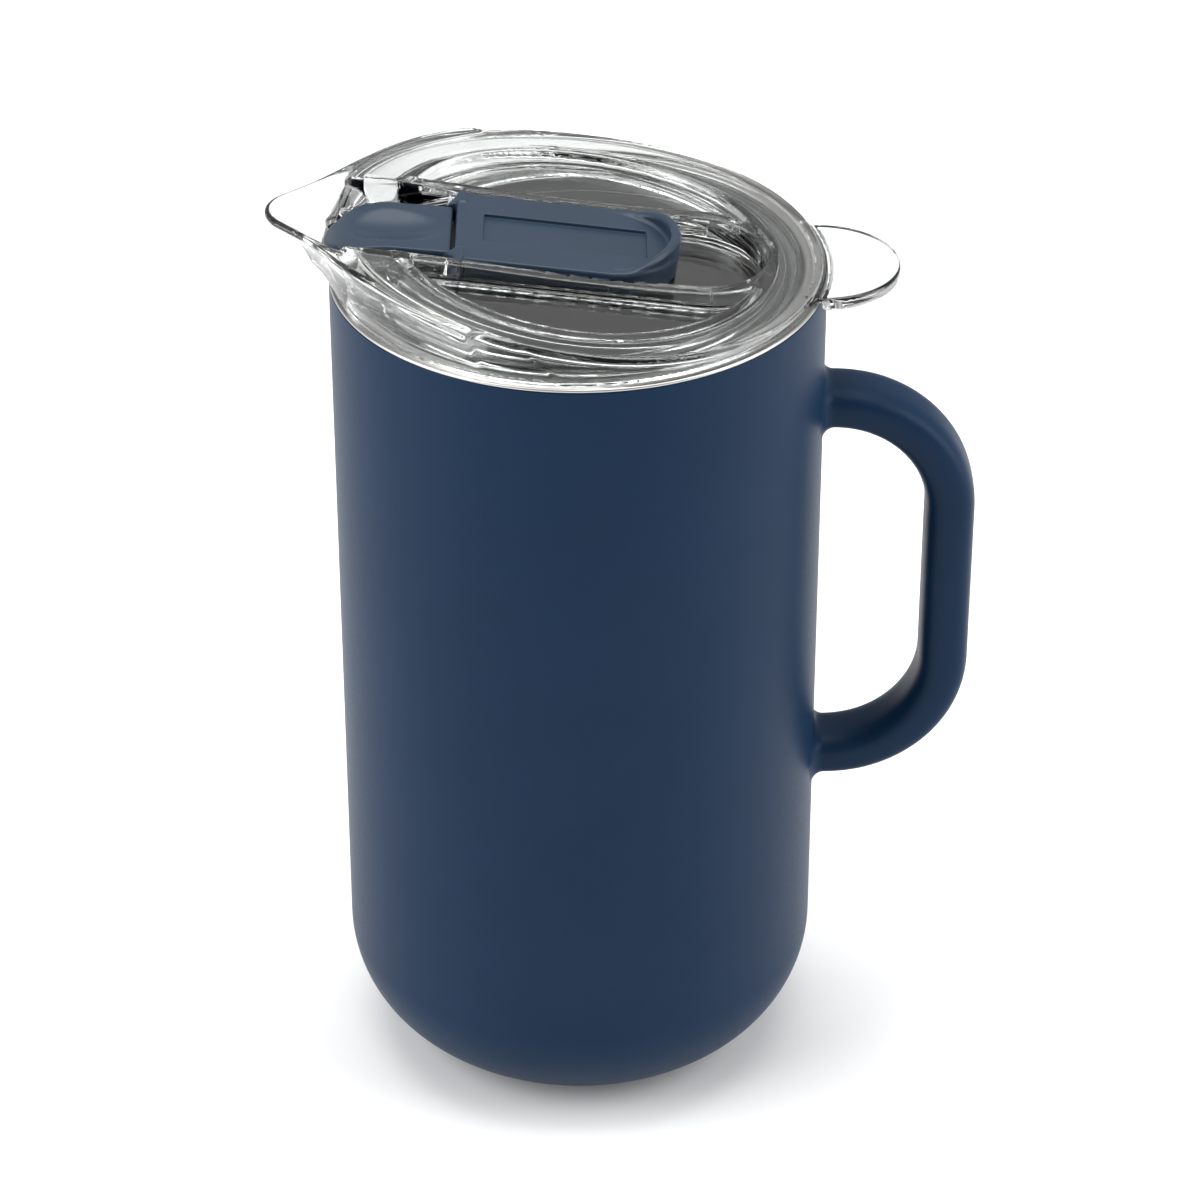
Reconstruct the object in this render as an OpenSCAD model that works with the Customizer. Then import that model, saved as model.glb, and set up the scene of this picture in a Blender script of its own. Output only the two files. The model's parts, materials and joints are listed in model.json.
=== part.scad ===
// Insulated water jug with a clear pouring lid and a slide closure.
// The origin is the centre of the base. +Z is up, the spout points to -X and the handle to +X.
// All sizes are in millimetres.

/* [Jug body] */
// Outer radius of the straight body
body_r = 63.5; // [63:0.5:66]
// Height of the coated wall
body_h = 231; // [210:1:250]
// Outer radius of the rounded bottom edge
bottom_r = 32.7; // [26:0.1:36]
// Space from the outer face to the inner face of the double wall
wall_depth = 6.5; // [6:0.1:7]
// Thickness of the steel sheet
sheet_t = 1; // [0.6:0.1:1.2]

/* [Handle] */
// Distance from the jug's axis to the outside of the grip
handle_reach = 104; // [100:1:110]
// Height of the middle of the upper arm
handle_top_z = 193.5; // [180:0.5:200]
// Height of the middle of the lower arm
handle_bottom_z = 85.5; // [70:0.5:90]
// Thickness of the handle
handle_t = 12; // [10:0.5:14]
// Width of the handle
handle_w = 19; // [16:1:24]

/* [Lid] */
// Slope of the lid down towards the handle, in degrees
lid_slope = 7; // [6:0.5:7.5]
// Reach of the spout past the body
spout_reach = 15.9; // [14:0.1:17]
// Half of the angle between the spout's two sides
spout_half_angle = 46; // [44:1:48]
// Radius of the thumb tab
tab_r = 20.5; // [18:0.5:22]

/* [Slide closure] */
// Width of the slider
slider_w = 35.8; // [34:0.2:36]
// Travel from closed to open
slider_travel = 21; // [18:0.5:21]

/* [Hidden] */
$fn = 96;

navy = [0.13, 0.2, 0.32];
steel = [0.75, 0.75, 0.74];
clear = [0.85, 0.88, 0.88, 0.5];
silicone = [0.8, 0.8, 0.78];
black = [0.03, 0.03, 0.04];

// Vacuum body
liner_in_r = body_r - wall_depth;
liner_floor_z = 8;
liner_corner_r = bottom_r - wall_depth;
rim_t = 0.9;
rim_top_z = body_h + rim_t;
base_hole_r = 27;
plate_z = 2;
plate_edge_z = 0.3;
cover_t = 0.8;
pump_hole_r = 1.5;

// Handle
handle_corner_r = 31;
handle_grip_x = handle_reach - handle_t / 2;
handle_edge_r = 5;
handle_wall = 1.2;
weld_plate_t = 2;

// Lid radii and heights
wall_bottom_z = rim_top_z + 0.3;
wall_foot_r = body_r - 0.9;
wall_top_r = body_r - 3.1;
wall_t = 2.8;
window_r = 47.3;
inner_wall_t = 3;
lid_axis_z = body_h + 9.4;
lid_top_max_z = body_h + 17.9;
top_curve_r = 560;
top_curve_x = 73.3;
top_low_z = body_h + 4.1;

// Levels in the sloped frame of the channel, measured down from the lid's top
pane_top = -4;
pane_t = 2.2;
channel_floor = -6.2;
floor_t = 2.2;
rail_t = 4.5;
side_gap = 0.4;
channel_half = slider_w / 2 + side_gap;
block_back_u = 8.1;
channel_end_u = block_back_u + slider_travel + 0.9;
groove_depth = 1.5;
groove_low = -4.5;
groove_high = -1.3;
groove_front = -33;

// Pour well under the flap
well_half = 10.5;
well_wall = 2.2;
well_front_u = -62;
well_back_u = -34.5;
hole_front_x = -52;
well_floor_z = wall_bottom_z + 1.5;

// Spout
spout_tip_r = 11.3;
spout_tip_x = -(body_r + spout_reach) + spout_tip_r;
spout_apex_x = spout_tip_x - spout_tip_r / sin(spout_half_angle);
spout_skin = 2.2;
spout_root_x = -40;
flare_r = 30;
flare_out = 15.6;
flare_z = body_h - 9.6;
floor_edge_z = body_h + 18.5;
floor_angle = 48.5;

// Lid plug and gasket
plug_out_r = 55.5;
plug_in_r = 53;
plug_low_z = body_h - 17;
flange_r = 56.7;
flange_t = 2;
groove_r = 54.2;
gasket_low_z = body_h - 12.5;
gasket_h = 6;
gasket_lip = 1.1;

// Slider
block_front_u = -31;
slider_low = -6.1;
base_t = 1.2;
block_wall = 2;
flap_front_u = -64;
flap_half = 12.4;
flap_gap = 1;
flap_rim = -1.8;
nose_curve_r = 33;
nose_curve_u = -45;
dish_u = -53;
dish_r = 16;
dish_long_r = 60;
dish_depth = 2.8;
lip_back_u = -57;
lip_low = -13;
base_tongue_u = [-40, block_front_u + block_wall];
base_tongue_half = 8;
seal_t = 1;
seal_wide = 1.6;
tongue_reach = 1.1;
tongue_gap = 0.3;
web_long = 3;
web_top = -0.9;
lip_u = [11, 23.5];
lip_h = 4.4;
lip_t = 2.4;
panel_u = [-24.5, 17.5];
panel_half = 7;
panel_depth = 1;

big = 200;

// ---- Shared shapes ----

// Solid of revolution with a flat base and a rounded bottom edge
module bullet(r, low_z, top_z, corner) {
    rotate_extrude() {
        translate([0, low_z]) square([r - corner, top_z - low_z]);
        translate([0, low_z + corner]) square([r, top_z - low_z - corner]);
        intersection() {
            translate([r - corner, low_z + corner]) circle(corner);
            translate([r - corner, low_z]) square(corner);
        }
    }
}

module ring(in_r, out_r, low_z, top_z) {
    translate([0, 0, low_z]) difference() {
        cylinder(r = out_r, h = top_z - low_z);
        translate([0, 0, -1]) cylinder(r = in_r, h = top_z - low_z + 2);
    }
}

// Places shapes in the sloped frame: X runs along the channel and Z = 0 is the lid's top
module sloped() {
    translate([0, 0, lid_axis_z]) rotate([0, lid_slope, 0]) children();
}

// Box between two corners that is centred on Y
module bar(u, half, w) {
    translate([u[0], -half, w[0]]) cube([u[1] - u[0], 2 * half, w[1] - w[0]]);
}

// ---- Jug body ----

module outer_shell() color(navy) difference() {
    bullet(body_r, 0, body_h, bottom_r);
    bullet(body_r - sheet_t, sheet_t, body_h + 1, bottom_r - sheet_t);
    translate([0, 0, -1]) cylinder(r = base_hole_r, h = sheet_t + 2);
}

// Recessed disc with a turned-down edge and a pump-out hole in the middle
module base_plate() color(steel) difference() {
    union() {
        translate([0, 0, plate_z]) cylinder(r = base_hole_r, h = sheet_t);
        ring(base_hole_r - sheet_t, base_hole_r, plate_edge_z, plate_z);
    }
    translate([0, 0, plate_z - 1]) cylinder(r = pump_hole_r, h = sheet_t + 2);
}

// Flush disc that hides the sealed hole and makes the middle of the standing face
module base_cover() color(steel) cylinder(r = base_hole_r - sheet_t, h = cover_t);

module inner_liner() color(steel) difference() {
    union() {
        bullet(liner_in_r + sheet_t, liner_floor_z - sheet_t, rim_top_z, liner_corner_r + sheet_t);
        translate([0, 0, body_h]) rotate_extrude() {
            square([body_r - rim_t / 2, rim_t]);
            translate([body_r - rim_t / 2, rim_t / 2]) circle(rim_t / 2, $fn = 32);
        }
    }
    bullet(liner_in_r, liner_floor_z, rim_top_z + 1, liner_corner_r);
}

module vacuum_seal() color("dimgray") {
    translate([0, 0, plate_z - 0.9]) cylinder(r = 3.5, h = 0.9);
    translate([0, 0, plate_z]) cylinder(r = pump_hole_r, h = sheet_t);
}

module getter() color("gray") translate([0, 0, 4.6]) cylinder(r = 5, h = 2);

// Strip bent up at both ends that holds the getter under the liner
module getter_clip() color(steel) {
    bar([-9, 9], 2, [4.2, 4.6]);
    for (u = [-9, 8.4]) bar([u, u + 0.6], 2, [4.6, liner_floor_z - sheet_t]);
}

// ---- Handle ----

module handle_section(shrink) {
    t = handle_t - 2 * shrink;
    w = handle_w - 2 * shrink;
    r = handle_edge_r - shrink;
    square([t, w - 2 * r], center = true);
    square([t - 2 * r, w], center = true);
    for (x = [-1, 1], y = [-1, 1]) translate([x * (t / 2 - r), y * (w / 2 - r)]) circle(r, $fn = 48);
}

module handle_corner(shrink) {
    rotate([90, 0, 0]) rotate_extrude(angle = 90)
        translate([handle_corner_r, 0]) handle_section(shrink);
}

// One bar from the body, round both corners and back to the body
module handle_bar(shrink) {
    corner_x = handle_grip_x - handle_corner_r;
    for (z = [handle_bottom_z, handle_top_z])
        translate([body_r - 4, 0, z]) rotate([0, 90, 0])
            linear_extrude(corner_x - body_r + 4) handle_section(shrink);
    translate([corner_x, 0, handle_top_z - handle_corner_r]) handle_corner(shrink);
    translate([corner_x, 0, handle_bottom_z + handle_corner_r]) mirror([0, 0, 1]) handle_corner(shrink);
    translate([handle_grip_x, 0, handle_bottom_z + handle_corner_r])
        linear_extrude(handle_top_z - handle_bottom_z - 2 * handle_corner_r) handle_section(shrink);
}

// Hollow half of the handle on one side of the welded middle plane
module handle_half(side) color(navy) difference() {
    handle_bar(0);
    handle_bar(handle_wall);
    cylinder(r = body_r, h = body_h);
    translate([0, side > 0 ? -big : 0, -big]) cube([big, big, 3 * big]);
}

module handle_left_half() handle_half(-1);
module handle_right_half() handle_half(1);

// Curved plate on the body that fits inside one end of the hollow handle
module handle_plate(z) color(steel) difference() {
    intersection() {
        translate([body_r - 4, 0, z]) rotate([0, 90, 0]) linear_extrude(8) handle_section(handle_wall);
        cylinder(r = body_r + weld_plate_t, h = body_h);
    }
    cylinder(r = body_r, h = body_h);
}

module handle_upper_plate() handle_plate(handle_top_z);
module handle_lower_plate() handle_plate(handle_bottom_z);

// ---- Lid ----

// Space above the lid's slightly hollow top, moved down by depth
module above_top(depth) {
    translate([top_curve_x, 0, top_low_z + top_curve_r]) rotate([90, 0, 0])
        cylinder(r = top_curve_r + depth, h = big, center = true, $fn = 720);
}

// Outer wall and ring as one solid, before it is hollowed
module lid_dome() difference() {
    rotate_extrude() polygon([
        [0, wall_bottom_z], [wall_foot_r, wall_bottom_z], [wall_foot_r, wall_bottom_z + 1.8],
        [wall_top_r, lid_axis_z - 1], [wall_top_r, lid_top_max_z], [0, lid_top_max_z]
    ]);
    above_top(0);
}

// Plan of the spout: two straight sides and a round tip
module spout_plan(inset) {
    r = spout_tip_r - inset;
    root = (spout_root_x - spout_apex_x) * tan(spout_half_angle) - inset / cos(spout_half_angle);
    side = [-r * sin(spout_half_angle), r * cos(spout_half_angle)];
    translate([spout_tip_x, 0]) circle(r);
    polygon([[spout_tip_x + side[0], -side[1]], [spout_root_x, -root],
             [spout_root_x, root], [spout_tip_x + side[0], side[1]]]);
}

// Room under the spout's two flared sides
module under_flare() {
    for (s = [-1, 1]) translate([spout_apex_x, 0, flare_z]) rotate([0, 0, s * spout_half_angle])
        translate([0, s * flare_out, 0]) rotate([0, 90, 0])
            cylinder(r = flare_r, h = big, center = true, $fn = 192);
}

// Room under the flat floors inside the spout, which fall from its two edges to the middle
module under_floor(lift) {
    for (s = [-1, 1]) translate([spout_apex_x, 0, 0]) rotate([0, 0, s * spout_half_angle])
        translate([0, -s * spout_skin, floor_edge_z + lift]) rotate([s * floor_angle, 0, 0])
            translate([-big / 2, -big / 2, -big]) cube([2 * big, big, big]);
}

module spout() difference() {
    translate([0, 0, wall_bottom_z]) linear_extrude(lid_top_max_z - wall_bottom_z) spout_plan(0);
    under_flare();
    above_top(0);
}

// Open trough of the spout outside the ring
module spout_hollow() difference() {
    translate([0, 0, wall_bottom_z + 1.5]) linear_extrude(30) spout_plan(spout_skin);
    cylinder(r = wall_top_r, h = 2 * body_h);
    under_floor(0);
}

// Channel that the slider runs in, with a round rear end and an open front
module channel(half, low, high) sloped() translate([0, 0, low]) {
    translate([-big / 2, -half, 0]) cube([big / 2 + channel_end_u, 2 * half, high - low]);
    translate([channel_end_u, 0, 0]) cylinder(r = half, h = high - low);
}

// Floors of the windows and the channel, with everything down to them
module lid_core() difference() {
    cylinder(r = window_r + inner_wall_t, h = lid_top_max_z + 2);
    above_top(0);
    sloped() translate([-big / 2, -big / 2, channel_floor - floor_t - 2 * big])
        cube([big, big, 2 * big]);
    difference() {
        intersection() {
            cylinder(r = window_r, h = lid_top_max_z + 2);
            sloped() translate([-big / 2, -big / 2, pane_top - pane_t - 2 * big])
                cube([big, big, 2 * big]);
        }
        channel(channel_half + floor_t, channel_floor - floor_t - 1, 0);
    }
}

// Window recesses on both sides of the rails
module window_cuts() difference() {
    intersection() {
        cylinder(r = window_r, h = 2 * body_h);
        sloped() translate([-big / 2, -big / 2, pane_top]) cube(big);
    }
    channel(channel_half + rail_t, pane_top - 1, big);
}

// Downward-open hollow between the outer wall and the inner wall
module ring_hollow() difference() {
    ring(window_r + inner_wall_t, wall_top_r - wall_t, wall_bottom_z - 20, lid_top_max_z);
    above_top(3);
    translate([-big, -channel_half - floor_t, 0]) cube([big, 2 * (channel_half + floor_t), 2 * body_h]);
}

module well_walls() intersection() {
    sloped() bar([well_front_u, well_back_u + well_wall], well_half + well_wall, [-16, channel_floor]);
    translate([0, 0, wall_bottom_z]) cylinder(r = wall_top_r, h = 30);
}

// Way from the jug's mouth up into the channel's front
module pour_way() {
    difference() {
        intersection() {
            sloped() bar([well_front_u - 6, well_back_u], well_half, [-20, 1]);
            translate([-big, -big, well_floor_z]) cube([2 * big, 2 * big, big]);
        }
        under_floor(0);
    }
    intersection() {
        sloped() bar([well_front_u, well_back_u], well_half, [-30, channel_floor + 1]);
        translate([hole_front_x, -big, 0]) cube([big, 2 * big, 2 * body_h]);
    }
}

module thumb_tab() difference() {
    translate([wall_foot_r - 1, 0, body_h - 1]) cylinder(r = tab_r, h = 4);
    cylinder(r = body_r + 0.7, h = wall_bottom_z);
    cylinder(r = wall_foot_r - 2, h = body_h + 10);
}

module lid_shell() color(clear) difference() {
    union() {
        difference() {
            lid_dome();
            difference() {
                cylinder(r = window_r, h = lid_top_max_z + 2);
                lid_core();
            }
        }
        lid_core();
        spout();
        well_walls();
        thumb_tab();
    }
    ring_hollow();
    window_cuts();
    spout_hollow();
    difference() {
        channel(channel_half, channel_floor, big);
        under_floor(0);
    }
    for (s = [-1, 1]) sloped() translate([groove_front, s * channel_half - groove_depth, groove_low])
        cube([channel_end_u + 4 - groove_front, 2 * groove_depth, groove_high - groove_low]);
    pour_way();
}

module lid_plug() color(clear) difference() {
    union() {
        ring(plug_in_r, plug_out_r, plug_low_z, wall_bottom_z);
        ring(window_r + inner_wall_t, flange_r, wall_bottom_z - flange_t, wall_bottom_z);
    }
    ring(groove_r, plug_out_r + 1, gasket_low_z, gasket_low_z + gasket_h);
}

// Sealing ring with a lip above and a lip below
module lid_gasket() color(silicone) translate([0, 0, gasket_low_z]) rotate_extrude() polygon([
    [groove_r, 0], [plug_out_r + gasket_lip, 0.6], [plug_out_r + gasket_lip, 1.4],
    [plug_out_r, 2.4], [plug_out_r, gasket_h - 2.4],
    [plug_out_r + gasket_lip, gasket_h - 1.4], [plug_out_r + gasket_lip, gasket_h - 0.6],
    [groove_r, gasket_h]
]);

// ---- Slide closure ----

// Block with a square front and a round rear end
module block(half, low, high, front) {
    bar([front, block_back_u], half, [low, high]);
    intersection() {
        translate([block_back_u, 0, low]) cylinder(r = half, h = high - low);
        bar([block_back_u, big], half, [low, high]);
    }
}

// Finger lip round the rear end, which rises from the block's top
module finger_lip() intersection() {
    translate([block_back_u, 0, slider_low])
        ring(slider_w / 2 - lip_t, slider_w / 2, 0, lip_h - slider_low);
    translate([0, big / 2, 0]) rotate([90, 0, 0]) linear_extrude(big)
        polygon([[lip_u[0], -1], [lip_u[0], 0], [lip_u[1], lip_h], [big, lip_h], [big, -1]]);
}

// Corners that fair the wide block into the sides of the narrower flap
module front_webs() for (s = [-1, 1]) translate([0, 0, slider_low])
    linear_extrude(web_top - slider_low) polygon([
        [block_front_u + 1, s * slider_w / 2], [block_front_u, s * slider_w / 2],
        [block_front_u - web_long, s * (flap_half + side_gap / 2)],
        [block_front_u + 1, s * (flap_half + side_gap / 2)]
    ]);

module slider_thumb() color(navy) sloped() difference() {
    union() {
        block(slider_w / 2, slider_low, 0, block_front_u);
        finger_lip();
        front_webs();
        bar([block_front_u + 3, block_back_u], channel_half + tongue_reach,
            [groove_low + tongue_gap, groove_high - tongue_gap]);
    }
    translate([0, 0, -0.01]) block(slider_w / 2 - block_wall, slider_low, slider_low + base_t + 1,
                                   block_front_u + block_wall);
    base_tongue();
    bar(panel_u, panel_half, [-panel_depth, 1]);
}

// Plan of the flap: straight sides and a round nose
module flap_plan(half, front, back) {
    translate([front + half, 0]) circle(half);
    translate([front + half, -half]) square([back - front - half, 2 * half]);
}

// Strip of the base that runs forward under the flap
module base_tongue() bar(base_tongue_u, base_tongue_half, [slider_low, slider_low + base_t]);

// Silicone frame on the underside of the flap, round the pour well
module seal_frame() translate([0, 0, slider_low]) linear_extrude(seal_t) difference() {
    flap_plan(well_half + seal_wide, lip_back_u, block_front_u - flap_gap);
    flap_plan(well_half, lip_back_u + seal_wide, well_back_u);
}

// Scoop with a long dished top that drops at the nose
module slider_flap() color(navy) difference() {
    sloped() difference() {
        intersection() {
            union() {
                translate([0, 0, slider_low])
                    linear_extrude(10) flap_plan(flap_half, flap_front_u, block_front_u - flap_gap);
                intersection() {
                    translate([0, 0, lip_low]) linear_extrude(12)
                        flap_plan(well_half - side_gap, flap_front_u, block_front_u);
                    bar([flap_front_u - 1, lip_back_u], big, [lip_low - 1, 0]);
                }
            }
            union() {
                bar([nose_curve_u, 0], big, [-20, flap_rim]);
                translate([nose_curve_u, 0, flap_rim - nose_curve_r]) rotate([90, 0, 0])
                    cylinder(r = nose_curve_r, h = big, center = true, $fn = 192);
            }
        }
        translate([dish_u, 0, flap_rim - dish_depth + dish_long_r]) rotate([90, 0, 0])
            rotate_extrude($fn = 360) translate([dish_long_r - dish_r, 0]) circle(dish_r);
        seal_frame();
        base_tongue();
    }
    under_floor(side_gap);
}

// Plate that closes the thumb block from below and carries the flap
module slider_base() color(black) sloped() {
    block(slider_w / 2 - block_wall, slider_low, slider_low + base_t, block_front_u + block_wall);
    base_tongue();
}

module flap_seal() color(silicone) sloped() difference() {
    seal_frame();
    base_tongue();
}

outer_shell();
base_plate();
base_cover();
inner_liner();
vacuum_seal();
getter();
getter_clip();
handle_left_half();
handle_right_half();
handle_upper_plate();
handle_lower_plate();
lid_shell();
lid_plug();
lid_gasket();
slider_thumb();
slider_flap();
slider_base();
flap_seal();
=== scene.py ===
"""Looks of the insulated jug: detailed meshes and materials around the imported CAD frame.

Shape functions work in millimetres in the CAD frame; meshes are scaled to metres when they are made.
"""
import json
import math

import bmesh
import bpy
import numpy as np
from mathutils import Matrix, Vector


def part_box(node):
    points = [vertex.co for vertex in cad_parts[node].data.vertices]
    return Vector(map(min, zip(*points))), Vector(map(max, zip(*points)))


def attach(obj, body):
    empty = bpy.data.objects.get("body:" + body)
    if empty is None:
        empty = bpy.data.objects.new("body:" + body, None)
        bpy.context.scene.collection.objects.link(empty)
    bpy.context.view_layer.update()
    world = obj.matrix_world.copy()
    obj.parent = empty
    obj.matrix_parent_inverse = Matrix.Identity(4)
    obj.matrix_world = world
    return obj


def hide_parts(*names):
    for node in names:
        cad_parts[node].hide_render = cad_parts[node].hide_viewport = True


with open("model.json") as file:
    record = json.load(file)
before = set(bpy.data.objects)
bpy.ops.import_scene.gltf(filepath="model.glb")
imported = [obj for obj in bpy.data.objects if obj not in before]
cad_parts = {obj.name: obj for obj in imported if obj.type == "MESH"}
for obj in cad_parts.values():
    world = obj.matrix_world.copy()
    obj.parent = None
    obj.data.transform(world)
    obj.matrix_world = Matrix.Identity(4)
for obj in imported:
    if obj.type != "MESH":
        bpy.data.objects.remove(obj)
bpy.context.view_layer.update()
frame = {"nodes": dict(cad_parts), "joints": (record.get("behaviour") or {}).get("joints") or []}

MM = 0.001

# ---------------------------------------------------------------- sizes from the frame

body_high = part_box("outer_shell")[1]
rim_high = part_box("inner_liner")[1]
handle_low, handle_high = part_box("handle_left_half")
slide_axis = next(j["axis"] for j in frame["joints"] if j["name"] == "closure_slide")

BODY_R = body_high.x / MM
BODY_H = body_high.z / MM
RIM_Z = rim_high.z / MM
SLOPE = math.atan2(-slide_axis[2], slide_axis[0])
LID_Z = BODY_H + 9.4
LINER_R = BODY_R - 6.5
BOTTOM_R = 32.7
SHEET = 1.0

# Mesh steps in millimetres. The lid's keeps it under the exporter's limit of 200,000 triangles.
LID_STEP = 0.685
THUMB_STEP = 0.32
FLAP_STEP = 0.35


# ---------------------------------------------------------------- mesh tools

def new_object(name, points, faces, smooth=True):
    """An object from points in millimetres and faces that all have the same corner count."""
    faces = np.asarray(faces, np.int32)
    mesh = bpy.data.meshes.new(name)
    mesh.vertices.add(len(points))
    mesh.vertices.foreach_set("co", (np.asarray(points, np.float64) * MM).astype(np.float32).ravel())
    mesh.loops.add(faces.size)
    mesh.loops.foreach_set("vertex_index", faces.ravel())
    mesh.polygons.add(len(faces))
    mesh.polygons.foreach_set("loop_start", np.arange(0, faces.size, faces.shape[1], dtype=np.int32))
    mesh.update(calc_edges=True)
    mesh.validate()
    mesh.polygons.foreach_set("use_smooth", np.full(len(mesh.polygons), smooth))
    obj = bpy.data.objects.new(name, mesh)
    bpy.context.scene.collection.objects.link(obj)
    return obj


def lathe(name, profile, steps=256):
    """A closed ring from a closed profile of (radius, height) points, listed anticlockwise."""
    profile = np.asarray(profile, float)
    n = len(profile)
    turn = np.linspace(0, 2 * math.pi, steps, endpoint=False)
    points = np.stack([
        np.outer(np.cos(turn), profile[:, 0]),
        np.outer(np.sin(turn), profile[:, 0]),
        np.broadcast_to(profile[:, 1], (steps, n)),
    ], axis=2).reshape(-1, 3)
    i, j = np.meshgrid(np.arange(steps), np.arange(n), indexing="ij")
    k, m = (i + 1) % steps, (j + 1) % n
    faces = np.stack([i * n + j, k * n + j, k * n + m, i * n + m], axis=2).reshape(-1, 4)
    obj = new_object(name, points, faces)
    obj.data.set_sharp_from_angle(angle=math.radians(35))
    return obj


def arc(cx, cz, r, start, end, count):
    """Points of an arc in a profile, with angles in degrees."""
    a = np.radians(np.linspace(start, end, count))
    return [(cx + r * math.cos(t), cz + r * math.sin(t)) for t in a]


def field_mesh(name, field, low, high, step):
    """A closed mesh of the surface where a field that is mirrored across Y is zero.

    Naive surface nets give one point for each cell that the surface crosses. The points are then
    moved along the field's slope onto the surface, and the slope gives the shading normals.
    """
    xs = np.arange(low[0] - step, high[0] + 2 * step, step, dtype=np.float32)
    ys = np.arange(0, high[1] + 2 * step, step, dtype=np.float32)
    zs = np.arange(low[2] - step, high[2] + 2 * step, step, dtype=np.float32)
    half = np.empty((len(xs), len(ys), len(zs)), np.float32)
    for i in range(0, len(xs), 32):
        half[i:i + 32] = field(*np.meshgrid(xs[i:i + 32], ys, zs, indexing="ij"))
    values = np.concatenate([half[:, :0:-1], half], axis=1)
    ys = np.concatenate([-ys[:0:-1], ys])
    inside = values < 0
    shape = np.array(values.shape) - 1
    corners = [(i, j, k) for i in (0, 1) for j in (0, 1) for k in (0, 1)]
    count = sum(
        inside[i:shape[0] + i, j:shape[1] + j, k:shape[2] + k].astype(np.uint8) for i, j, k in corners
    )
    cells = np.argwhere((count > 0) & (count < 8))
    number = np.full(shape, -1, np.int64)
    number[tuple(cells.T)] = np.arange(len(cells))
    total = np.zeros((len(cells), 3))
    hits = np.zeros(len(cells))
    at = {c: values[cells[:, 0] + c[0], cells[:, 1] + c[1], cells[:, 2] + c[2]] for c in corners}
    for a in corners:
        for axis in range(3):
            if a[axis]:
                continue
            b = tuple(v + (axis == d) for d, v in enumerate(a))
            cross = (at[a] < 0) != (at[b] < 0)
            t = at[a][cross] / (at[a][cross] - at[b][cross])
            spot = np.tile(np.array(a, float), (cross.sum(), 1))
            spot[:, axis] += t
            total[cross] += spot
            hits[cross] += 1
    grid = cells + total / hits[:, None]
    points = np.stack([xs[0] + grid[:, 0] * step, ys[0] + grid[:, 1] * step, zs[0] + grid[:, 2] * step], 1)
    faces = []
    for axis in range(3):
        p, q = [d for d in range(3) if d != axis]
        here = [slice(1, -1)] * 3
        here[axis] = slice(0, -1)
        ahead = list(here)
        ahead[axis] = slice(1, None)
        change = inside[tuple(here)] != inside[tuple(ahead)]
        edge = np.argwhere(change) + np.array([0 if d == axis else 1 for d in range(3)])
        out = inside[tuple(edge.T)]
        ring = []
        for dp, dq in ((1, 1), (0, 1), (0, 0), (1, 0)):
            c = edge.copy()
            c[:, p] -= dp
            c[:, q] -= dq
            ring.append(number[tuple(c.T)])
        quad = np.stack(ring, 1)
        flip = out if axis == 1 else ~out
        quad[flip] = quad[flip][:, ::-1]
        faces.append(quad)
    faces = np.concatenate(faces)
    points, slope = settle(points, field, 3, step)
    obj = new_object(name, points, faces)
    obj.data.normals_split_custom_set_from_vertices(slope.tolist())
    return obj


def settle(points, field, rounds, step):
    """Points moved onto the field's zero surface, with the unit slope there."""
    h = 0.02
    for turn in range(rounds + 1):
        x, y, z = points.T
        slope = np.stack([
            field(x + h, np.abs(y), z) - field(x - h, np.abs(y), z),
            field(x, np.abs(y + h), z) - field(x, np.abs(y - h), z),
            field(x, np.abs(y), z + h) - field(x, np.abs(y), z - h),
        ], 1) / (2 * h)
        size = np.maximum((slope ** 2).sum(1), 0.05)
        if turn == rounds:
            break
        move = -(field(x, np.abs(y), z) / size)[:, None] * slope
        length = np.linalg.norm(move, axis=1, keepdims=True)
        points = points + move * np.minimum(1, 0.5 * step / np.maximum(length, 1e-9))
    return points, slope / np.maximum(np.linalg.norm(slope, axis=1, keepdims=True), 1e-9)


# ---------------------------------------------------------------- distance field tools

def either(a, b, r=0.0):
    """Union of two shapes, with a fillet of about r."""
    if not r:
        return np.minimum(a, b)
    h = np.maximum(r - np.abs(a - b), 0) / r
    return np.minimum(a, b) - h * h * r / 4


def both(a, b, r=0.0):
    """Intersection of two shapes, with a rounded edge of about r."""
    return -either(-a, -b, r)


def every(r, *shapes):
    """Intersection of several shapes, all with the same edge rounding."""
    result = shapes[0]
    for shape in shapes[1:]:
        result = both(result, shape, r)
    return result


def cut(a, b, r=0.0):
    """Shape a without shape b, with a rounded edge of about r."""
    return both(a, -b, r)


def sloped(x, z):
    """Place along and above the lid's sloped middle plane."""
    c, s = math.cos(SLOPE), math.sin(SLOPE)
    return x * c - (z - LID_Z) * s, x * s + (z - LID_Z) * c


def ease(t):
    t = np.clip(t, 0, 1)
    return t * t * (3 - 2 * t)


# ---------------------------------------------------------------- lid shape, in millimetres

WALL_FOOT_Z = RIM_Z + 0.3
WALL_FOOT_R = BODY_R - 0.9
LIP_LONG = BODY_R - 0.9          # half length of the lid's oval top edge
LIP_WIDE = BODY_R - 3.1          # half width of it
LIP_SHIFT = 0.4
WALL = 2.8
WINDOW_R = 47.3
INNER_WALL = 3.0
TOP_R = 560.0                    # radius of the lid's slightly hollow top
TOP_X = 73.3
TOP_LOW_Z = BODY_H + 4.1
CAP_Z = BODY_H + 17.8
PANE = -4.0
PANE_T = 2.2
FLOOR = -6.2
FLOOR_T = 2.2
CHANNEL = 18.3                   # half width of the slider's channel
CHANNEL_END = 30.0
RAIL = 4.5
SPOUT_HALF = math.radians(46)
SPOUT_TIP_R = 11.3
SPOUT_X = -(BODY_R + 15.9) + SPOUT_TIP_R
SPOUT_APEX = SPOUT_X - SPOUT_TIP_R / math.sin(SPOUT_HALF)
SPOUT_SKIN = 2.2
SPOUT_ROOT = -30.0
FLARE_R = 30.0
FLARE_OUT = 15.6
FLARE_Z = BODY_H - 9.6
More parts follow.
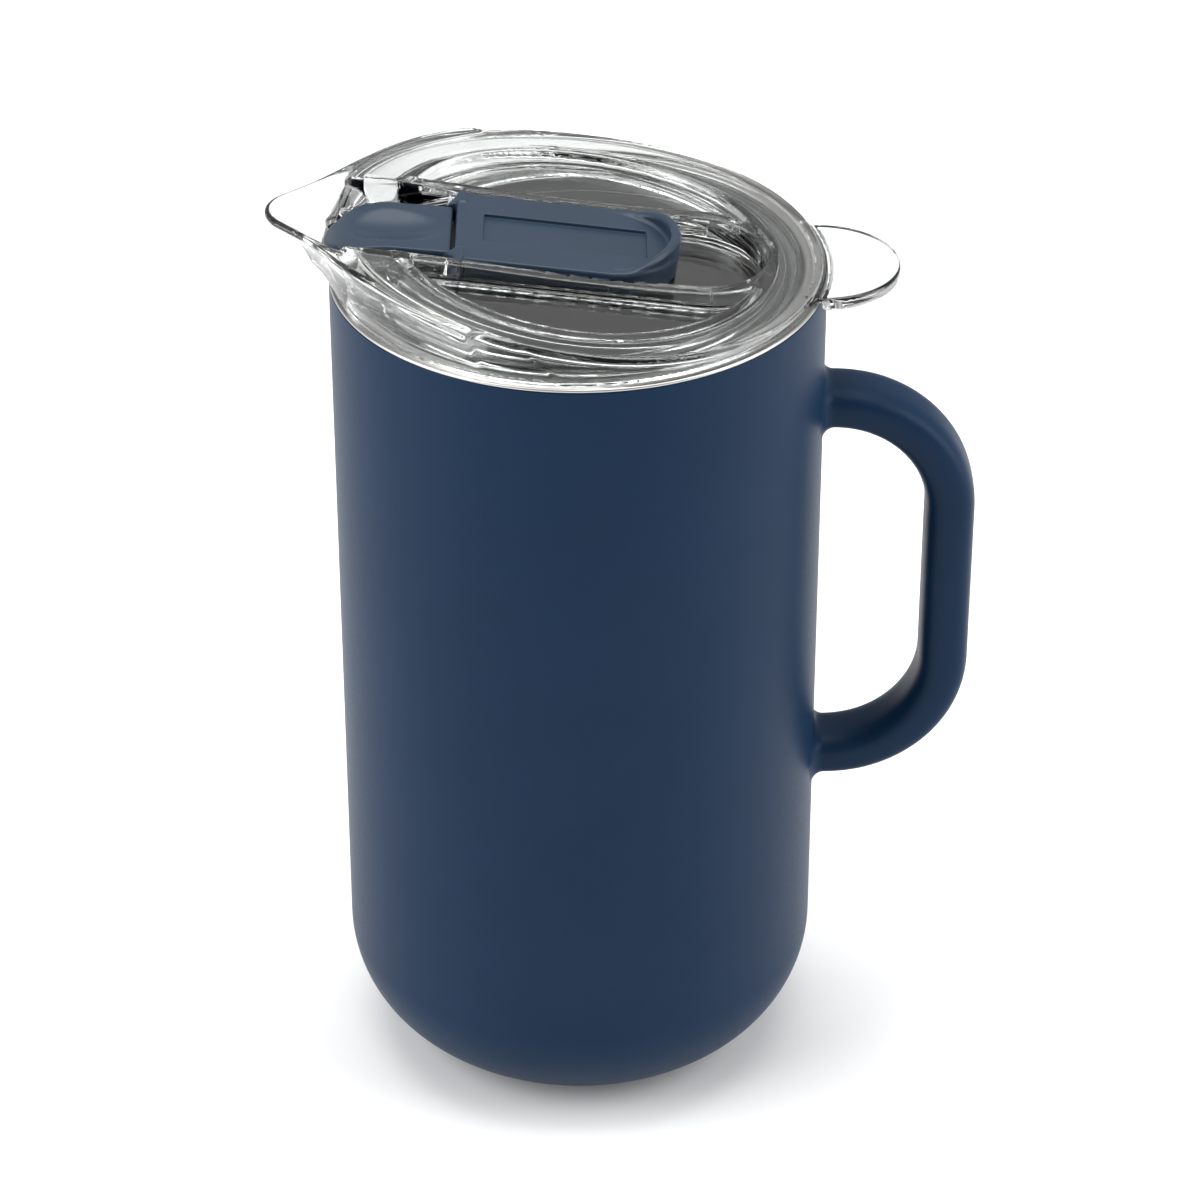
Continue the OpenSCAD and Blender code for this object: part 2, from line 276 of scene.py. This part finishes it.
WELL = 10.5                      # half width of the pour well
WELL_FRONT = -62.0
WELL_BACK = -34.5
WELL_FLOOR_Z = WALL_FOOT_Z + 1.5
HOLE_FRONT = -52.0
GROOVE_DEPTH = 1.5
GROOVE_W = -2.9                  # middle height of the rails' grooves
GROOVE_HALF = 1.6
GROOVE_U = 0.5
GROOVE_LONG = 33.5
TAB_R = 20.5
TAB_T = 3.9
TAB_X = WALL_FOOT_R - 1
TAB_Z = BODY_H + 1
CAP_FALL = 0.045
SPOUT_FAIRING = 9.0
LIP_EDGE = 1.6
EDGE = 0.8


def below_top(x, z, depth=0.0):
    """Negative under the lid's hollow top, moved down by depth."""
    return TOP_R + depth - np.hypot(x - TOP_X, z - TOP_LOW_Z - TOP_R)


def outer_wall(x, y, z):
    """Negative inside the lid's round wall, which leans in from its foot to the oval top edge."""
    r = np.hypot(x, y)
    across = np.hypot((x - LIP_SHIFT) / LIP_LONG, y / LIP_WIDE)
    oval = r / np.maximum(across, 1e-3)
    lean = ease((z - WALL_FOOT_Z - 1) / 7.5)
    return r - (WALL_FOOT_R + (oval - WALL_FOOT_R) * lean)


def spout_plan(x, y):
    """Negative inside the spout's outline, seen from above."""
    along = (x - SPOUT_X) * math.cos(SPOUT_HALF) + y * math.sin(SPOUT_HALF)
    side = y * math.cos(SPOUT_HALF) - (x - SPOUT_APEX) * math.sin(SPOUT_HALF)
    return np.where(along < 0, np.hypot(x - SPOUT_X, y) - SPOUT_TIP_R, side)


def flare(plan, z, grow=0.0):
    """Negative above the spout's flared underside, moved up by grow."""
    return FLARE_R + grow - np.hypot(plan - FLARE_OUT, z - FLARE_Z)


def lid_shape(x, y, z):
    """The clear lid: ring, spout, window panes, channel, pour well and thumb tab."""
    u, w = sloped(x, z)
    r = np.hypot(x, y)
    wall = outer_wall(x, y, z)
    plan = spout_plan(x, y)
    stadium = np.where(u > CHANNEL_END, np.hypot(u - CHANNEL_END, y), y)
    top = below_top(x, z)
    cap = both(top, z - (CAP_Z - CAP_FALL * (x - SPOUT_X + SPOUT_TIP_R)), 4)

    # Ring and spout as one solid, hollowed from below between its two walls
    spout = every(1.5, plan, flare(plan, z), x - SPOUT_ROOT)
    skin = either(wall, spout, SPOUT_FAIRING)
    ring = every(EDGE, both(skin, cap, LIP_EDGE), WALL_FOOT_Z - z, WINDOW_R - r)
    beside_channel = np.minimum(CHANNEL + FLOOR_T - y, -x)
    hollow = every(1.2, WINDOW_R + INNER_WALL - r, wall + WALL, below_top(x, z, WALL), beside_channel)
    ring = cut(ring, hollow, 0.5)

    # Floors of the windows and the channel
    level = FLOOR - FLOOR_T
    core = every(EDGE, r - WINDOW_R - INNER_WALL, both(top, cap, 1), level - w)
    under_panes = every(1.0, r - WINDOW_R, w - (PANE - PANE_T), CHANNEL + FLOOR_T - stadium)
    body = either(ring, cut(core, under_panes, 0.5), 0.8)

    # Walls of the pour well under the front of the channel
    well = every(EDGE, y - WELL - FLOOR_T, WELL_FRONT - u, u - WELL_BACK - FLOOR_T,
                 w - FLOOR, WALL_FOOT_Z - z, wall)
    body = either(body, well, 0.8)

    tab = every(1.2, np.hypot(x - TAB_X, y) - TAB_R, np.abs(z - TAB_Z) - TAB_T / 2,
                np.maximum(WALL_FOOT_R - 2 - r, np.minimum(BODY_R + 0.8 - r, WALL_FOOT_Z - z)))
    body = either(body, tab, 1.0)

    # Recesses: two windows, the channel, the spout's trough and the pour well
    window = every(1.2, r - WINDOW_R, PANE - w, CHANNEL + RAIL - stadium)
    body = cut(body, window, 1.4)
    trough = both(plan + SPOUT_SKIN, flare(plan, z, SPOUT_SKIN), 2)
    channel = every(0.8, stadium - CHANNEL, FLOOR - w, trough)
    mouth = every(1.0, trough, -wall, WELL_FLOOR_Z - z)
    way = every(0.8, y - WELL, WELL_FRONT - 6 - u, u - WELL_BACK, trough, WELL_FLOOR_Z - z)
    hole = every(0.8, y - WELL, HOLE_FRONT - x, u - WELL_BACK, w - FLOOR - 1)
    groove = every(0.3, np.abs(y - CHANNEL) - GROOVE_DEPTH, np.abs(w - GROOVE_W) - GROOVE_HALF,
                   np.abs(u - GROOVE_U) - GROOVE_LONG)
    open_space = either(either(channel, mouth, 1.5), either(way, hole), 0.6)
    return cut(body, either(open_space, groove), 1.0)


# ---------------------------------------------------------------- slide closure, in millimetres

BLOCK = 17.9                     # half width of the thumb block
BLOCK_FRONT = -31.0
BLOCK_BACK = 8.1
SLIDER_LOW = -6.1
BASE_T = 1.2
BLOCK_WALL = 2.0
TONGUE = 1.1
WEB_LONG = 3.2
LIP_START = 10.5                 # where the finger lip starts to rise
LIP_FULL = 24.5                  # where it has its full height
LIP_H = 4.3
LIP_T = 2.3
LIP_LEAN = 0.12
LIP_ROOT = -1.5                  # how deep the lip goes into the block
PANEL = (-24.0, 17.6)
PANEL_HALF = 7.2
PANEL_DEPTH = 1.0
FLAP_FRONT = -64.0
FLAP_HALF = 12.4
FLAP_BACK = -31.9
FLAP_RIM = -1.6
RIM_FALL = 0.025                 # fall of the flap's rim towards the nose
NOSE_R = 31.0
NOSE_U = -46.0
DISH_U = -53.0
DISH_R = 16.0
DISH_LONG_R = 60.0
DISH_LOW = -4.6
POUR_LIP_BACK = -57.0
POUR_LIP_LOW = -13.0


def block_plan(u, y, half):
    """Negative inside the thumb block's outline: a square front and a round rear end."""
    tail = np.where(u > BLOCK_BACK, np.hypot(u - BLOCK_BACK, y), y) - half
    return both(tail, BLOCK_FRONT + (BLOCK - half) - u, 1.0)


def thumb_shape(x, y, z):
    """The thumb block: a flat top with a shallow panel, and a finger lip round the rear."""
    u, w = sloped(x, z)
    block = every(0.8, block_plan(u, y, BLOCK), w + 0.02, SLIDER_LOW - w)
    tongue = every(0.4, y - CHANNEL - TONGUE, np.abs(w - GROOVE_W) - GROOVE_HALF + 0.3,
                   BLOCK_FRONT + 3 - u, u - BLOCK_BACK)
    block = either(block, tongue, 0.3)

    # The lip rises towards the rear. Its inner side leans and its top edge is round
    tail = np.hypot(np.maximum(u - BLOCK_BACK, 0), y)
    top = LIP_H * ease((u - LIP_START) / (LIP_FULL - LIP_START))
    lip = every(1.3, tail - BLOCK, BLOCK - LIP_T - tail - LIP_LEAN * w, w - top,
                LIP_ROOT - w, LIP_START - 1 - u)
    block = either(block, lip, 1.2)

    # Webs that fair the block into the sides of the flap
    beside = ((BLOCK - y) * WEB_LONG - (BLOCK_FRONT + 0.4 - u) * (BLOCK - FLAP_HALF))
    web = every(0.6, -beside / math.hypot(WEB_LONG, BLOCK - FLAP_HALF), FLAP_HALF + 0.15 - y,
                u - BLOCK_FRONT - 2, SLIDER_LOW - w, w + 0.3 - 0.4 * (u - BLOCK_FRONT))
    block = either(block, web, 1.0)

    inside = both(block_plan(u, y, BLOCK - BLOCK_WALL), w - (SLIDER_LOW + BASE_T + 1), 0.5)
    block = cut(block, inside, 0.3)
    panel = every(0.3, PANEL[0] - u, u - PANEL[1], y - PANEL_HALF, -PANEL_DEPTH - w)
    return cut(block, panel, 0.25)


def flap_plan(u, y, half, front):
    return np.where(u < front + half, np.hypot(u - front - half, y), y) - half


def flap_shape(x, y, z):
    """The scoop-shaped flap: a long dished top with a rim that drops at the nose."""
    u, w = sloped(x, z)
    plan = spout_plan(x, y)
    level = FLAP_RIM + RIM_FALL * np.minimum(u - BLOCK_FRONT, 0)
    rim = np.where(u < NOSE_U, np.hypot(u - NOSE_U, w - level + NOSE_R) - NOSE_R, w - level)
    outline = both(flap_plan(u, y, FLAP_HALF, FLAP_FRONT), u - FLAP_BACK, 0.5)
    upper = both(outline, SLIDER_LOW - w, 0.5)
    lip = every(0.5, flap_plan(u, y, WELL - 0.4, FLAP_FRONT), POUR_LIP_LOW - w, u - POUR_LIP_BACK)
    flap = both(either(upper, lip, 0.4), rim, 0.8)
    along = np.hypot(u - DISH_U, w - DISH_LOW - DISH_LONG_R) - DISH_LONG_R + DISH_R
    flap = cut(flap, np.hypot(along, y) - DISH_R, 0.7)
    return both(flap, flare(plan, z, SPOUT_SKIN + 0.4), 0.4)


# ---------------------------------------------------------------- round parts, in millimetres

def outer_shell():
    """Coated outer sheet with a wide round bottom edge, open in the middle of the base."""
    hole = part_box("base_plate")[1].x / MM + 0.1
    flat = BODY_R - BOTTOM_R
    outside = [(hole, 0.3), (hole + 0.3, 0)] + arc(flat, BOTTOM_R, BOTTOM_R, -90, 0, 40)
    outside += arc(BODY_R - 0.3, BODY_H - 0.3, 0.3, 0, 90, 5)
    inside = [(BODY_R - SHEET, BODY_H)] + arc(flat, BOTTOM_R, BOTTOM_R - SHEET, 0, -90, 40)
    return lathe("jug_outer_shell", outside + inside + [(hole, SHEET)], 384)


def inner_liner():
    """Steel liner, drawn in one piece with a flange that rolls over the outer sheet."""
    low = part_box("inner_liner")[0].z / MM
    corner = BOTTOM_R - (BODY_R - LINER_R)
    flat = LINER_R - corner
    bead = (RIM_Z - BODY_H) / 2
    inside = [(0, low + SHEET)] + arc(flat, low + SHEET + corner, corner, -90, 0, 32)
    inside += arc(LINER_R + 1.5, RIM_Z - 1.5, 1.5, 180, 90, 8)
    edge = arc(BODY_R - bead, RIM_Z - bead, bead, 90, -90, 12)
    outside = [(LINER_R + SHEET, BODY_H)] + arc(flat, low + SHEET + corner, corner + SHEET, 0, -90, 32)
    profile = inside + edge + outside + [(0, low)]
    return spun("jug_inner_liner", profile[::-1], 384)


def spun(name, profile, steps):
    """A closed solid of revolution whose profile starts and ends on the axis."""
    profile = np.asarray(profile, float)
    ring = profile[1:-1]
    n = len(ring)
    turn = np.linspace(0, 2 * math.pi, steps, endpoint=False)
    points = np.stack([
        np.outer(np.cos(turn), ring[:, 0]),
        np.outer(np.sin(turn), ring[:, 0]),
        np.broadcast_to(ring[:, 1], (steps, n)),
    ], axis=2).reshape(-1, 3)
    mesh = bmesh.new()
    verts = [mesh.verts.new(p * MM) for p in points]
    ends = [mesh.verts.new((0, 0, profile[k, 1] * MM)) for k in (0, -1)]
    for i in range(steps):
        k = (i + 1) % steps
        for j in range(n - 1):
            mesh.faces.new([verts[i * n + j], verts[k * n + j], verts[k * n + j + 1], verts[i * n + j + 1]])
        mesh.faces.new([ends[0], verts[k * n], verts[i * n]])
        mesh.faces.new([ends[1], verts[i * n + n - 1], verts[k * n + n - 1]])
    for face in mesh.faces:
        face.smooth = True
    data = bpy.data.meshes.new(name)
    mesh.to_mesh(data)
    mesh.free()
    data.set_sharp_from_angle(angle=math.radians(35))
    obj = bpy.data.objects.new(name, data)
    bpy.context.scene.collection.objects.link(obj)
    return obj


def lid_plug():
    """Clear collar that carries the gasket and reaches down into the jug's mouth."""
    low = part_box("lid_plug")[0].z / MM
    seal_low, seal_high = (corner.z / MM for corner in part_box("lid_gasket"))
    out, inner, groove, flange = 55.5, 53.0, 54.2, 56.7
    window_wall = WINDOW_R + INNER_WALL
    foot = WALL_FOOT_Z
    profile = [(inner, low + 0.6), (inner + 0.6, low), (out - 1.0, low)]
    profile += arc(out - 1.0, low + 1.0, 1.0, -60, 0, 5)
    profile += [(out, seal_low), (groove, seal_low), (groove, seal_high), (out, seal_high)]
    profile += arc(out + 0.6, foot - 2.6, 0.6, 180, 90, 5)
    profile += arc(flange - 0.5, foot - 1.5, 0.5, -90, 0, 5) + [(flange, foot)]
    profile += [(window_wall, foot), (window_wall, foot - 1.7), (window_wall + 0.3, foot - 2.0)]
    profile += arc(inner - 0.8, foot - 2.8, 0.8, 90, 0, 5)
    return lathe("lid_collar", profile, 320)


def lid_gasket():
    """Silicone ring with two soft lips."""
    low, high = (corner.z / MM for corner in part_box("lid_gasket"))
    back, face, lip = 54.2, 55.4, 56.55
    profile = [(back, low), (face - 0.2, low)]
    for z in (low + 1.0, high - 1.0):
        profile += [(face, z - 0.9)] + arc(lip - 0.4, z, 0.4, -80, 80, 7) + [(face, z + 0.9)]
    return lathe("lid_gasket_ring", profile + [(face - 0.2, high), (back, high)], 320)


# ---------------------------------------------------------------- handle, in millimetres

GRIP_T = 13.0
ARM_T = 11.4
CORNER_R = 31.0
ROOT_FILLET = 3.2
ROOT_DEPTH = 0.4                 # how far the root goes into the outer sheet


def handle_path():
    """Stations along the handle: middle point, direction across the bar, and place from 0 to 1."""
    half_w = -handle_low.y / MM
    grip_x = handle_high.x / MM - GRIP_T / 2
    low = handle_low.z / MM + ARM_T / 2 + 0.3
    high = handle_high.z / MM - ARM_T / 2 - 0.3
    corner_x = grip_x - CORNER_R
    start = BODY_R - ROOT_DEPTH
    stations = []
    for x in np.linspace(start, corner_x, 12, endpoint=False):
        stations.append(((x, high), (0, 1)))
    for a in np.radians(np.linspace(90, 0, 40)):
        across = (math.cos(a), math.sin(a))
        middle = (corner_x + CORNER_R * across[0], high - CORNER_R + CORNER_R * across[1])
        stations.append((middle, across))
    for z in np.linspace(high - CORNER_R, low + CORNER_R, 24)[1:-1]:
        stations.append(((grip_x, z), (1, 0)))
    for a in np.radians(np.linspace(0, -90, 40)):
        across = (math.cos(a), math.sin(a))
        middle = (corner_x + CORNER_R * across[0], low + CORNER_R + CORNER_R * across[1])
        stations.append((middle, across))
    for x in np.linspace(corner_x, start, 13)[1:]:
        stations.append(((x, low), (0, -1)))
    return stations, half_w


def handle_half(name, side):
    """One pressed half of the handle, on the side of Y that side gives, up to the middle plane."""
    stations, half_w = handle_path()
    middle = np.array([s[0] for s in stations])
    across = np.array([s[1] for s in stations])
    walked = np.concatenate([[0], np.cumsum(np.linalg.norm(np.diff(middle, axis=0), axis=1))])
    from_root = np.minimum(walked, walked[-1] - walked)
    turn = np.radians(np.linspace(0, 180, 36))
    power = 2 / 3.2
    out = np.sign(np.cos(turn)) * np.abs(np.cos(turn)) ** power
    wide = np.abs(np.sin(turn)) ** power
    wide[[0, -1]] = 0
    reach = np.clip(from_root - ROOT_DEPTH, 0, ROOT_FILLET)
    grow = ROOT_FILLET - np.sqrt(ROOT_FILLET ** 2 - (ROOT_FILLET - reach) ** 2)
    thick = (ARM_T + (GRIP_T - ARM_T) * ease(from_root / 50)) / 2 + grow
    width = half_w - 0.2 + 0.2 * ease(from_root / 50) + grow
    a = thick[:, None] * out
    y = width[:, None] * wide
    follow = (np.sqrt(BODY_R ** 2 - y ** 2) - BODY_R) * (1 - ease(from_root / 14))[:, None]
    x = middle[:, :1] + across[:, :1] * a + follow
    z = middle[:, 1:] + across[:, 1:] * a
    points = np.stack([x, side * y, z], 2).reshape(-1, 3)
    n, count = len(turn), len(stations)
    i, j = np.meshgrid(np.arange(count - 1), np.arange(n), indexing="ij")
    k = (j + 1) % n
    faces = np.stack([i * n + j, i * n + k, (i + 1) * n + k, (i + 1) * n + j], 2).reshape(-1, 4)
    j = np.arange(n // 2 - 1)
    first = np.stack([j, n - 1 - j, n - 2 - j, j + 1], 1)
    last = first[:, ::-1] + (count - 1) * n
    faces = np.concatenate([faces, first, last])
    if side < 0:
        faces = faces[:, ::-1]
    obj = new_object(name, points, faces)
    obj.data.set_sharp_from_angle(angle=math.radians(40))
    return obj


# ---------------------------------------------------------------- materials

class Shader:
    """A new material with a Principled shader and short calls that add procedural nodes to it."""

    def __init__(self, name, **plain):
        self.material = bpy.data.materials.new(name)
        self.material.use_nodes = True
        self.tree = self.material.node_tree
        self.shader = self.tree.nodes["Principled BSDF"]
        for socket, value in plain.items():
            self.shader.inputs[socket.replace("_", " ")].default_value = value
        self.where = self.tree.nodes.new("ShaderNodeTexCoord").outputs["Object"]

    def node(self, kind, **inputs):
        made = self.tree.nodes.new(kind)
        for socket, value in inputs.items():
            made.inputs[socket.replace("_", " ")].default_value = value
        return made

    def noise(self, scale, detail=2.0, stretch=(1, 1, 1)):
        """Noise over the object, with scale in features per metre."""
        place = self.node("ShaderNodeMapping", Scale=stretch)
        self.tree.links.new(self.where, place.inputs["Vector"])
        made = self.node("ShaderNodeTexNoise", Scale=scale, Detail=detail)
        self.tree.links.new(place.outputs["Vector"], made.inputs["Vector"])
        return made.outputs["Fac"]

    def spread(self, source, low, high):
        """Source's middle range stretched to run from low to high."""
        made = self.node("ShaderNodeMapRange", From_Min=0.3, From_Max=0.7, To_Min=low, To_Max=high)
        self.tree.links.new(source, made.inputs["Value"])
        return made.outputs["Result"]

    def colours(self, source, low, high):
        """Base colour that runs between two colours."""
        ramp = self.node("ShaderNodeValToRGB")
        ramp.color_ramp.elements[0].position = 0.3
        ramp.color_ramp.elements[0].color = (*low, 1)
        ramp.color_ramp.elements[1].position = 0.7
        ramp.color_ramp.elements[1].color = (*high, 1)
        self.tree.links.new(source, ramp.inputs["Fac"])
        self.tree.links.new(ramp.outputs["Color"], self.shader.inputs["Base Color"])

    def roughness(self, source, low, high):
        self.tree.links.new(self.spread(source, low, high), self.shader.inputs["Roughness"])

    def bump(self, source, height):
        """Relief of the given height in metres."""
        made = self.node("ShaderNodeBump", Distance=height)
        self.tree.links.new(source, made.inputs["Height"])
        self.tree.links.new(made.outputs["Normal"], self.shader.inputs["Normal"])


def shade(colour, change):
    return tuple(c * change for c in colour)


def navy_coat():
    """Satin powder coat: a very fine orange peel and slow, faint changes of tone."""
    made = Shader("navy_coat", Specular_IOR_Level=0.10)
    navy = (0.0060, 0.0220, 0.0540)
    made.colours(made.noise(28, 3), shade(navy, 0.95), shade(navy, 1.06))
    grain = made.noise(2600, 2)
    made.roughness(grain, 0.36, 0.46)
    made.bump(grain, 0.00002)
    return made.material


def brushed_steel(name="brushed_steel", stretch=(1, 1, 40)):
    """Turned stainless steel, with fine lines round the axis."""
    made = Shader(name, Metallic=1.0)
    lines = made.noise(120, 4, stretch)
    made.colours(made.noise(35, 3), (0.53, 0.52, 0.505), (0.57, 0.56, 0.545))
    made.roughness(lines, 0.28, 0.34)
    made.bump(lines, 0.000002)
    return made.material


def dull_metal(name, colour):
    made = Shader(name, Metallic=1.0)
    grain = made.noise(900, 3)
    made.colours(made.noise(150, 3), shade(colour, 0.85), shade(colour, 1.1))
    made.roughness(grain, 0.4, 0.6)
    made.bump(grain, 0.00004)
    return made.material


def clear_plastic():
    """Clear moulded copolyester with a light grey tint and a faint flow in its surface."""
    made = Shader("clear_plastic", Transmission_Weight=1.0, IOR=1.54, Roughness=0.02)
    made.colours(made.noise(20, 2), (0.865, 0.880, 0.875), (0.885, 0.900, 0.895))
    made.bump(made.noise(45, 1), 0.000004)
    return made.material


def navy_plastic():
    """Satin moulded plastic with a very light skin texture."""
    made = Shader("navy_plastic", Specular_IOR_Level=0.35)
    navy = (0.016, 0.031, 0.054)
    made.colours(made.noise(60, 3), shade(navy, 0.93), shade(navy, 1.07))
    grain = made.noise(1800, 2)
    made.roughness(grain, 0.34, 0.40)
    made.bump(grain, 0.0000005)
    return made.material


def black_plastic():
    made = Shader("black_plastic")
    grain = made.noise(2400, 3)
    made.colours(made.noise(90, 2), (0.006, 0.006, 0.007), (0.010, 0.010, 0.011))
    made.roughness(grain, 0.35, 0.5)
    made.bump(grain, 0.00003)
    return made.material


def silicone():
    made = Shader("silicone", Specular_IOR_Level=0.35, Subsurface_Weight=0.15, Subsurface_Scale=0.001)
    grain = made.noise(1500, 3)
    made.colours(made.noise(50, 2), (0.60, 0.61, 0.60), (0.68, 0.69, 0.68))
    made.roughness(grain, 0.45, 0.6)
    made.bump(grain, 0.00002)
    return made.material


SLOT_MATERIALS = {
    "navy_coat": navy_coat(),
    "brushed_steel": brushed_steel(),
    "solder": dull_metal("solder", (0.42, 0.42, 0.43)),
    "getter_metal": dull_metal("getter_metal", (0.30, 0.29, 0.28)),
    "clear_plastic": clear_plastic(),
    "navy_plastic": navy_plastic(),
    "black_plastic": black_plastic(),
    "silicone": silicone(),
}


# ---------------------------------------------------------------- assembly

def place(piece, body, node, slot):
    """A new piece that stands for a CAD node."""
    piece.data.materials.append(SLOT_MATERIALS[slot])
    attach(piece, body)
    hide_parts(node)


def refinish(node, slot):
    """A CAD node that keeps its shape and takes a better material."""
    mesh = frame["nodes"][node].data
    mesh.materials.clear()
    mesh.materials.append(SLOT_MATERIALS[slot])
    mesh.polygons.foreach_set("material_index", np.zeros(len(mesh.polygons), np.int32))


def around(node, spare=0.6):
    """A CAD node's lowest and highest corner in millimetres, with some room to spare."""
    low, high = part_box(node)
    return [c / MM - spare for c in low], [c / MM + spare for c in high]


place(outer_shell(), "jug", "outer_shell", "navy_coat")
place(inner_liner(), "jug", "inner_liner", "brushed_steel")
place(handle_half("handle_left", -1), "jug", "handle_left_half", "navy_coat")
place(handle_half("handle_right", 1), "jug", "handle_right_half", "navy_coat")
place(field_mesh("lid_clear_shell", lid_shape, *around("lid_shell"), LID_STEP),
      "lid", "lid_shell", "clear_plastic")
place(lid_plug(), "lid", "lid_plug", "clear_plastic")
place(lid_gasket(), "lid", "lid_gasket", "silicone")
place(field_mesh("slider_thumb_block", thumb_shape, *around("slider_thumb"), THUMB_STEP),
      "slider", "slider_thumb", "navy_plastic")
place(field_mesh("slider_pour_flap", flap_shape, *around("slider_flap"), FLAP_STEP),
      "slider", "slider_flap", "navy_plastic")

refinish("base_plate", "brushed_steel")
refinish("base_cover", "brushed_steel")
refinish("vacuum_seal", "solder")
refinish("getter", "getter_metal")
refinish("getter_clip", "brushed_steel")
refinish("handle_upper_plate", "brushed_steel")
refinish("handle_lower_plate", "brushed_steel")
refinish("slider_base", "black_plastic")
refinish("flap_seal", "silicone")


# ---------------------------------------------------------------- floor, light and camera

def floor():
    """Wide, plain white floor."""
    mesh = bpy.data.meshes.new("floor")
    half = 6.0
    corners = [(-half, -half, 0), (half, -half, 0), (half, half, 0), (-half, half, 0)]
    mesh.from_pydata(corners, [], [(0, 1, 2, 3)])
    obj = bpy.data.objects.new("floor", mesh)
    bpy.context.scene.collection.objects.link(obj)
    made = Shader("floor_white", Roughness=0.9, Specular_IOR_Level=0.1)
    made.colours(made.noise(3, 2), (0.93, 0.93, 0.93), (0.94, 0.94, 0.94))
    obj.data.materials.append(made.material)


def area_light(name, place_m, target_m, size, power):
    light = bpy.data.lights.new(name, "AREA")
    light.shape = "RECTANGLE"
    light.size, light.size_y = size
    light.energy = power
    obj = bpy.data.objects.new(name, light)
    obj.location = place_m
    obj.rotation_euler = (Vector(target_m) - Vector(place_m)).to_track_quat("-Z", "Y").to_euler()
    bpy.context.scene.collection.objects.link(obj)


def studio_world():
    """Grey surroundings, darker behind the camera, which give the clear lid its dark edges."""
    world = bpy.data.worlds.new("studio")
    world.use_nodes = True
    tree = world.node_tree
    tree.nodes["Background"].inputs["Color"].default_value = (1, 1, 1, 1)
    where = tree.nodes.new("ShaderNodeTexCoord")
    split = tree.nodes.new("ShaderNodeSeparateXYZ")
    ramp = tree.nodes.new("ShaderNodeMapRange")
    ramp.inputs["From Min"].default_value = -0.9
    ramp.inputs["From Max"].default_value = 0.5
    ramp.inputs["To Min"].default_value = 0.22
    ramp.inputs["To Max"].default_value = 0.55
    tree.links.new(where.outputs["Generated"], split.inputs["Vector"])
    tree.links.new(split.outputs["Y"], ramp.inputs["Value"])
    tree.links.new(ramp.outputs["Result"], tree.nodes["Background"].inputs["Strength"])
    bpy.context.scene.world = world


def camera():
    """Long lens in front of the jug, looking along +Y and down."""
    data = bpy.data.cameras.new("camera")
    data.lens = 131.5
    data.sensor_width = 36
    data.clip_end = 50
    obj = bpy.data.objects.new("camera", data)
    target = Vector((0.0056, 0, 0.1313))
    tilt = math.radians(32.5)
    obj.location = target + 1.1697 * Vector((0, -math.cos(tilt), math.sin(tilt)))
    obj.rotation_euler = (math.pi / 2 - tilt, 0, 0)
    bpy.context.scene.collection.objects.link(obj)
    bpy.context.scene.camera = obj


floor()
studio_world()
middle = (0, 0, BODY_H / 2 * MM)
area_light("softbox_left", (-1.3, -0.5, 0.9), middle, (1.2, 1.6), 24)
area_light("softbox_right", (1.4, -0.3, 0.8), middle, (1.0, 1.6), 20)
area_light("softbox_top", (0, 0.3, 1.7), middle, (1.6, 1.2), 24)
camera()
bpy.context.scene.view_settings.view_transform = "Standard"
